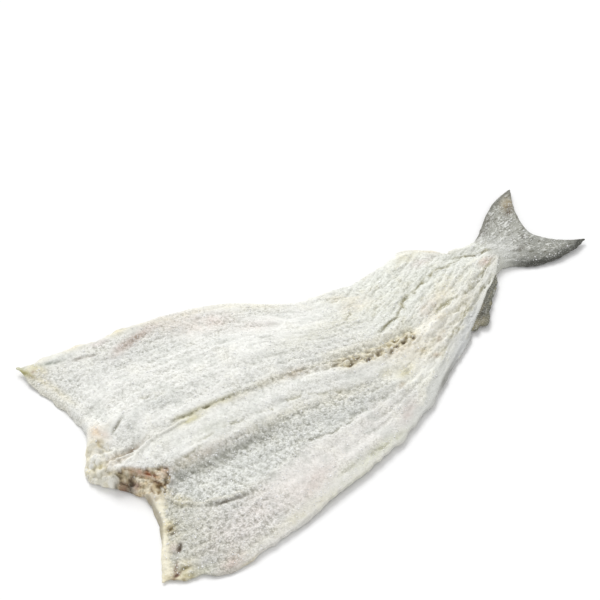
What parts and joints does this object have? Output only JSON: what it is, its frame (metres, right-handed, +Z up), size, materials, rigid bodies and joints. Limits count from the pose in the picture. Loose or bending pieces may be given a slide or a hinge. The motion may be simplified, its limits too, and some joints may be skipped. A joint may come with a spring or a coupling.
{
  "type": "salted dried cod",
  "caption": "Whole salted dried cod, headed and split open flat, flesh side up, with belly flaps, backbone groove, anal fin and forked tail fin.",
  "frame": {"origin": "middle of the fish's bounding box at the level of the surface it lies on", "axes": "+X from the nape to the tail, +Y towards the fish's left flap as it lies, +Z up from the skin side to the flesh side"},
  "size_m": [0.63, 0.331, 0.0251],
  "materials": {
    "salted_flesh": "dry, matt, white salt-crusted flesh with cream rims, faint pink tints and brown marks at the backbone",
    "skin": "dry grey-olive fish skin dusted with salt, with a pale lateral line",
    "fin": "dry grey fin with fine rays and darker edges, dusted with salt",
    "salt": "coarse white salt crystals"
  },
  "bodies": {
    "root": {"split_cod": "salted_flesh"}
  },
  "joints": []
}
